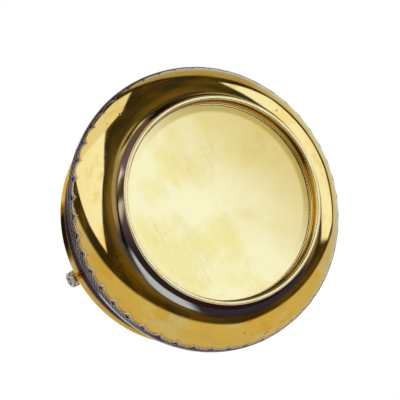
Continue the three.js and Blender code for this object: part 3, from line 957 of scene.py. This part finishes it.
def hatching(n, place, height):
    """Mask of wavering cuts that cross at a slant between the teeth and the ridge."""
    x, y, _ = n.split(place)
    waver = n.product(n.math("SUBTRACT", n.noise(place, 260, 2.0, 0.6), 0.5), 1.6)
    along = n.sum(n.product(n.math("ARCTAN2", y, x), BELLY_RADIUS / HATCH_STEP), waver)
    rise = n.math("DIVIDE", height, HATCH_STEP)
    sets = []
    for slope in (1.0, -1.0):
        wave = n.math("SINE", n.product(n.sum(along, n.product(rise, slope)), math.pi))
        sets.append(n.ramp(wave, 0.35, 0.95))
    zone = n.product(n.ramp(height, HATCH_LOW, HATCH_LOW + 0.6 * MM),
                     n.ramp(height, HATCH_HIGH, HATCH_HIGH - 0.4 * MM))
    return n.product(n.math("MAXIMUM", *sets), zone)


def border_material():
    """Engraved silver: dark in the grooves, hatched between teeth and ridge; the worn beads take a painted
    highlight on one side and painted brown shade on the other, where the face also takes painted olive shade.
    """
    material, n, place = new_metal("silver_border")
    height = n.split(place)[2]
    groove = n.add("ShaderNodeAttribute", attribute_name="groove").outputs["Fac"]
    cuts = hatching(n, place, height)
    cloud = n.noise(n.stretched(place, (1, 1, 2)), 160, 5.0, 0.7)
    fine = n.noise(place, 1100, 3.0, 0.6)
    neck = n.ramp(height, RIDGE_HEIGHT + 0.5 * MM, RIDGE_HEIGHT + 1.5 * MM)
    worn = n.mix(n.ramp(cloud, 0.35, 0.72), BORDER_GREY, BORDER_BROWN)
    worn = n.mix(neck, worn, n.mix(n.ramp(cloud, 0.35, 0.7), NECK_GREY, DARK_SILVER))
    worn = n.mix(n.near(height, RIDGE_HEIGHT, 1.0 * MM, 0.6 * MM), worn, RIDGE_WORN)
    # Painted light: face and beads are lighter towards one side; away from it the face takes painted olive
    # shade and the beads painted brown shade.
    rubbed_and_lit = n.ramp(toward(n, place, 0.87, -0.5, BELLY_RADIUS), 0.0, 0.6)
    worn = n.mix(rubbed_and_lit, n.mix(0.55, worn, BORDER_OLIVE_SHADE), worn)
    color = n.mix(n.ramp(groove, 0.45, 0.1), worn, n.mix(rubbed_and_lit, BEAD_SHADE_BROWN, BEAD_HIGHLIGHT))
    color = n.mix(n.ramp(groove, 0.6, 0.95), color, GROOVE_DARK)
    color = n.mix(n.product(cuts, 0.9), color, HATCH_DARK)
    normal = n.bump(n.sum(cloud, fine), 0.00006, 0.6, n.bump(cuts, -0.00009, 0.8))
    finish_metal(n, color, n.sum(0.16, n.product(fine, 0.3)), normal, (0.50, 0.42, 0.47))
    return material


HINGE_LIGHT = (0.84, 0.80, 0.72)
HINGE_WORN = (0.60, 0.50, 0.38)
HINGE_DARK = (0.06, 0.04, 0.03)
HINGE_GILT = (0.80, 0.58, 0.36)
HINGE_SPECK = (0.2, 0.15, 0.11)


def hinge_material():
    """Worn silver with traces of gilding near the wall, dark specks and a dark ring round the pin."""
    material, n, place = new_metal("silver_hinge")
    cloud = n.noise(place, 330, 4.0, 0.6)
    fine = n.noise(place, 1500, 4.0, 0.7)
    radius, height = radius_and_height(n, place)
    from_axis = n.hypot(n.math("SUBTRACT", height, PIVOT), n.split(place)[1])
    ring = n.product(n.near(from_axis, 1.15 * MM, 0.42 * MM, 0.25 * MM), n.ramp(radius, 54.3 * MM, 54.6 * MM))
    color = n.mix(n.ramp(cloud, 0.40, 0.62), HINGE_LIGHT, HINGE_WORN)
    color = n.mix(ring, color, HINGE_DARK)
    color = n.mix(n.ramp(radius, 52.4 * MM, 51.6 * MM), color, HINGE_GILT)
    color = n.mix(n.ramp(fine, 0.60, 0.74), color, HINGE_SPECK)
    normal = n.bump(n.sum(cloud, n.product(fine, 0.5)), 0.00008, 0.6)
    finish_metal(n, color, n.sum(0.36, n.product(fine, 0.25)), normal)
    return material


GILT_BODY = gilt_body_material()
GILT_EDGE = plain_material("gilt_edge", (0.92, 0.70, 0.24), (0.92, 0.56, 0.15), 0.05, (0.92, 0.64, 0.27))
SILVER_LINE = plain_material("silver_line", (0.70, 0.72, 0.62), (0.46, 0.42, 0.42), 0.16)
GILT_LIP = plain_material("gilt_lip", (0.98, 0.84, 0.46), (0.95, 0.74, 0.32), 0.2)
GILT_HANDLE = handle_material()
SILVER_FOOT = foot_material()
SILVER_BORDER = border_material()
SILVER_HINGE = hinge_material()


# ------ the pieces

def dress(piece, material, body, replaced):
    """Gives a piece its material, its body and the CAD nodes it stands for."""
    piece.data.materials.append(material)
    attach(piece, body)
    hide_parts(*replaced)


dress(build_bowl(), GILT_BODY, "basket", ["bowl"])
dress(build_foot(), SILVER_FOOT, "basket", ["foot_ring"])
dress(build_foot_wire(), GILT_LIP, "basket", ["foot_rim_wire"])
dress(build_band(), SILVER_BORDER, "basket", ["ornament_band"])
dress(build_waist_line(), SILVER_LINE, "basket", [])
dress(build_collar(), GILT_EDGE, "basket", [])
dress(build_rim(), GILT_EDGE, "basket", ["rim_wire"])
for lug_side in ("right", "left"):
    dress(build_lug(lug_side), SILVER_HINGE, "basket", ["lug_" + lug_side])
    dress(build_pin(lug_side), SILVER_HINGE, "basket", ["hinge_pin_" + lug_side])
    for across in (-SCROLL_SPREAD, SCROLL_SPREAD):
        dress(build_scroll_end(lug_side, across), SILVER_HINGE, "basket", [])
dress(build_handle(), GILT_HANDLE, "handle", ["bail_handle"])


# ------ floor, camera and lamp

FLOOR_HALF = 2.0
FLOOR_DROP = 0.0002
FLOOR_COLOR = (0.86, 0.86, 0.85, 1)

# The photograph looks up at the base, tilted towards +X, with +Z running to the lower left.
CAMERA_TILT = math.radians(24.65)
CAMERA_AZIMUTH = math.radians(2.65)
CAMERA_DISTANCE = 700 * MM
UP_DIRECTION = math.radians(154.11)
AIM_HEIGHT = 20 * MM
AIM_OFFSET = (0.45 * MM, -3.80 * MM)
FOCAL_PIXELS = 1771.12
IMAGE_SIZE = 400
SENSOR = 36

LAMP_POWER = 7
LAMP_SIZE = 0.5
LAMP_PLACE = (-0.5, -0.45, 0.9)


def add_floor():
    """Pale floor for views from above. It doesn't show from below, nor in the metal."""
    mesh = bpy.data.meshes.new("floor")
    corners = [(x * FLOOR_HALF, y * FLOOR_HALF, -FLOOR_DROP) for x, y in ((-1, -1), (1, -1), (1, 1), (-1, 1))]
    mesh.from_pydata(corners, [], [(0, 1, 2, 3)])
    floor = add_object("floor", mesh)
    material = bpy.data.materials.new("floor")
    material.use_nodes = True
    tree = material.node_tree
    tree.nodes.remove(tree.nodes["Principled BSDF"])
    n = Nodes(tree)
    surface = n.add("ShaderNodeBsdfDiffuse")
    surface.inputs["Color"].default_value = FLOOR_COLOR
    clear = n.add("ShaderNodeBsdfTransparent")
    seen = n.add("ShaderNodeLightPath").outputs["Is Camera Ray"]
    front = n.math("SUBTRACT", 1.0, n.add("ShaderNodeNewGeometry").outputs["Backfacing"])
    mixed = n.add("ShaderNodeMixShader")
    n.link(n.product(seen, front), mixed.inputs[0])
    n.link(clear.outputs[0], mixed.inputs[1])
    n.link(surface.outputs[0], mixed.inputs[2])
    n.link(mixed.outputs[0], tree.nodes["Material Output"].inputs["Surface"])
    mesh.materials.append(material)


def add_camera():
    tilt, azimuth = CAMERA_TILT, CAMERA_AZIMUTH
    back = Vector((math.sin(tilt) * math.cos(azimuth), math.sin(tilt) * math.sin(azimuth), -math.cos(tilt)))
    rising = (Vector((0, 0, 1)) - back * back.z).normalized()
    across = back.cross(rising)
    right = rising * math.cos(UP_DIRECTION) + across * math.sin(UP_DIRECTION)
    up = across * math.cos(UP_DIRECTION) - rising * math.sin(UP_DIRECTION)
    aim = Vector((0, 0, AIM_HEIGHT)) + rising * AIM_OFFSET[0] + across * AIM_OFFSET[1]
    data = bpy.data.cameras.new("camera")
    data.sensor_width = SENSOR
    data.lens = FOCAL_PIXELS * SENSOR / IMAGE_SIZE
    data.clip_start = 0.01
    camera = add_object("camera", data)
    turn = Matrix((right, up, back)).transposed().to_4x4()
    camera.matrix_world = Matrix.Translation(aim + back * CAMERA_DISTANCE) @ turn
    bpy.context.scene.camera = camera


def add_lamp():
    """Soft lamp overhead: it gives the floor its shadow and doesn't show in the metal."""
    data = bpy.data.lights.new("lamp", "AREA")
    data.shape = "DISK"
    data.size = LAMP_SIZE
    data.energy = LAMP_POWER
    lamp = add_object("lamp", data)
    lamp.location = LAMP_PLACE
    lamp.rotation_euler = Vector(LAMP_PLACE).to_track_quat("Z", "Y").to_euler()
    lamp.visible_glossy = False


add_floor()
add_camera()
add_lamp()


# ------ studio

# The studio that the metal reflects, drawn on a flat chart of directions fixed in the row frame.
# The chart's middle is CHART_MIDDLE, a direction below the basket, and its units are degrees from there.
CHART_MIDDLE = (0.4166, 0.0193, -0.9089)
CHART_RIGHT = (-0.7966, -0.4740, -0.3752)
CHART_UP = (-0.4380, 0.8803, -0.1821)

WHITE_BOX = (1.0, 1.08, 1.3)
PALE_BOX = (0.86, 0.88, 0.9)
DARK_ROOM = (0.034, 0.027, 0.014)
DARK_ROOM_WARM = (0.10, 0.066, 0.012)
BROWN_ROOM = (0.14, 0.10, 0.03)
BROWN_ROOM_WARM = (0.24, 0.165, 0.035)
BROWN_CORNER = (0.16, 0.10, 0.02)
OLIVE_SHADE = (0.06, 0.055, 0.02)
TABLE = (0.60, 0.60, 0.58)
WARM_WALL = (0.42, 0.34, 0.2)
FAR_WALL = (0.56, 0.60, 0.62)
TOP_WALL = (0.42, 0.35, 0.19)
SIDE_WALL = (0.68, 0.72, 0.66)
CEILING = (0.8, 0.82, 0.85)
DAYLIGHT = (0.7, 0.7, 0.7)
BACKGROUND = (1, 1, 1)


def chart_place(n):
    """Where a direction lies on the chart, as (x, y, 1) in degrees, and how far it is from the middle."""
    direction = n.add("ShaderNodeTexCoord").outputs["Generated"]
    x, y, z = (n.dot(direction, axis) for axis in (CHART_RIGHT, CHART_UP, CHART_MIDDLE))
    z = n.math("MINIMUM", n.math("MAXIMUM", z, -1), 1)
    angle = n.product(n.math("ARCCOSINE", z), 180 / math.pi)
    scale = n.math("DIVIDE", angle, n.math("MAXIMUM", n.hypot(x, y), 1e-4))
    return n.combine(n.product(x, scale), n.product(y, scale), 1), angle


def patch(n, place, corners, soft):
    """Mask of a convex patch of the chart, its corners given clockwise."""
    edges = []
    for (x1, y1), (x2, y2) in zip(corners, corners[1:] + corners[:1]):
        length = math.hypot(x2 - x1, y2 - y1)
        a, b = (y2 - y1) / length, -(x2 - x1) / length
        edges.append(n.ramp(n.dot(place, (a, b, -a * x1 - b * y1)), -soft, soft))
    return n.product(*edges)


def disc(n, place, centre, radius, soft):
    """Mask of a round patch of the chart."""
    node = n.add("ShaderNodeVectorMath", operation="DISTANCE")
    n.link(place, node.inputs[0])
    node.inputs[1].default_value = (*centre, 1)
    return n.ramp(node.outputs["Value"], radius + soft, radius - soft)


def far_room(n, place, angle):
    """Walls, table and ceiling round the dark part of the studio."""
    x, y, _ = n.split(place)
    top = n.mix(n.ramp(angle, 115, 165), TOP_WALL, FAR_WALL)
    top = n.mix(n.ramp(x, 50, 115), top, SIDE_WALL)
    low = n.mix(n.ramp(angle, 95, 150), TABLE, FAR_WALL)
    left = [(-170, 130), (-100, 130), (-106, -2), (-170, -12)]
    return n.mix(patch(n, place, left, 6), n.mix(n.ramp(y, 0, 20), low, top), CEILING)


def dark_room(n, place, color):
    """The dark room round the camera, with its warmer and browner parts."""
    room = [(-108, -12), (-112, 60), (-100, 120), (-68, 124), (0, 108), (60, 100), (94, 80), (119, 48),
            (121, 20), (118, 0), (90, -15), (48, -37), (12, -38), (-20, -25)]
    wedge = [(10, 32), (11, 41), (17, 45), (21, 38), (16, 30)]
    shade = [(-150, 5), (-124, 5), (-124, -36), (-150, -36)]
    stir = n.patches(place, 0.04, 0.42, 0.68, 3.0)
    color = n.mix(patch(n, place, room, 3), color, n.mix(stir, DARK_ROOM, DARK_ROOM_WARM))
    color = n.mix(disc(n, place, (26, 14), 26, 9), color, n.mix(stir, BROWN_ROOM, BROWN_ROOM_WARM))
    color = n.mix(n.product(disc(n, place, (26, 52), 14, 12), 0.8), color, BROWN_CORNER)
    color = n.mix(patch(n, place, wedge, 3), color, WARM_WALL)
    return n.mix(patch(n, place, shade, 4), color, OLIVE_SHADE)


def soft_boxes(n, place, color):
    """Three soft boxes and the round one behind the camera."""
    upper = [(-60, 100), (-34, 102), (-17, 71), (-32, 59), (-106, 40), (-104, 64)]
    lower = [(-31, 60), (-7, 31), (-7.5, 20), (-20, -12), (-38, -1), (-84, 18), (-110, 28), (-106, 42)]
    right = [(40, 81), (75, 83), (103, 57), (111, 40), (114, 8), (92, -9), (84, 6), (40, 20), (30, 60)]
    for corners, soft, light in ((upper, 1.2, PALE_BOX), (lower, 1.2, WHITE_BOX), (right, 1.5, WHITE_BOX)):
        color = n.mix(patch(n, place, corners, soft), color, light)
    return n.mix(disc(n, place, (45, 21), 19, 6), color, WHITE_BOX)


def build_world():
    """Metal sees the studio, the camera a white background, and all else plain daylight."""
    world = bpy.data.worlds.new("studio")
    world.use_nodes = True
    bpy.context.scene.world = world
    n = Nodes(world.node_tree)
    place, angle = chart_place(n)
    studio = soft_boxes(n, place, dark_room(n, place, far_room(n, place, angle)))
    background = world.node_tree.nodes["Background"]
    path = n.add("ShaderNodeLightPath").outputs
    seen = n.mix(path["Is Glossy Ray"], DAYLIGHT, studio)
    n.link(n.mix(path["Is Camera Ray"], seen, BACKGROUND), background.inputs["Color"])
    background.inputs["Strength"].default_value = 1


build_world()
bpy.context.scene.view_settings.view_transform = "Standard"
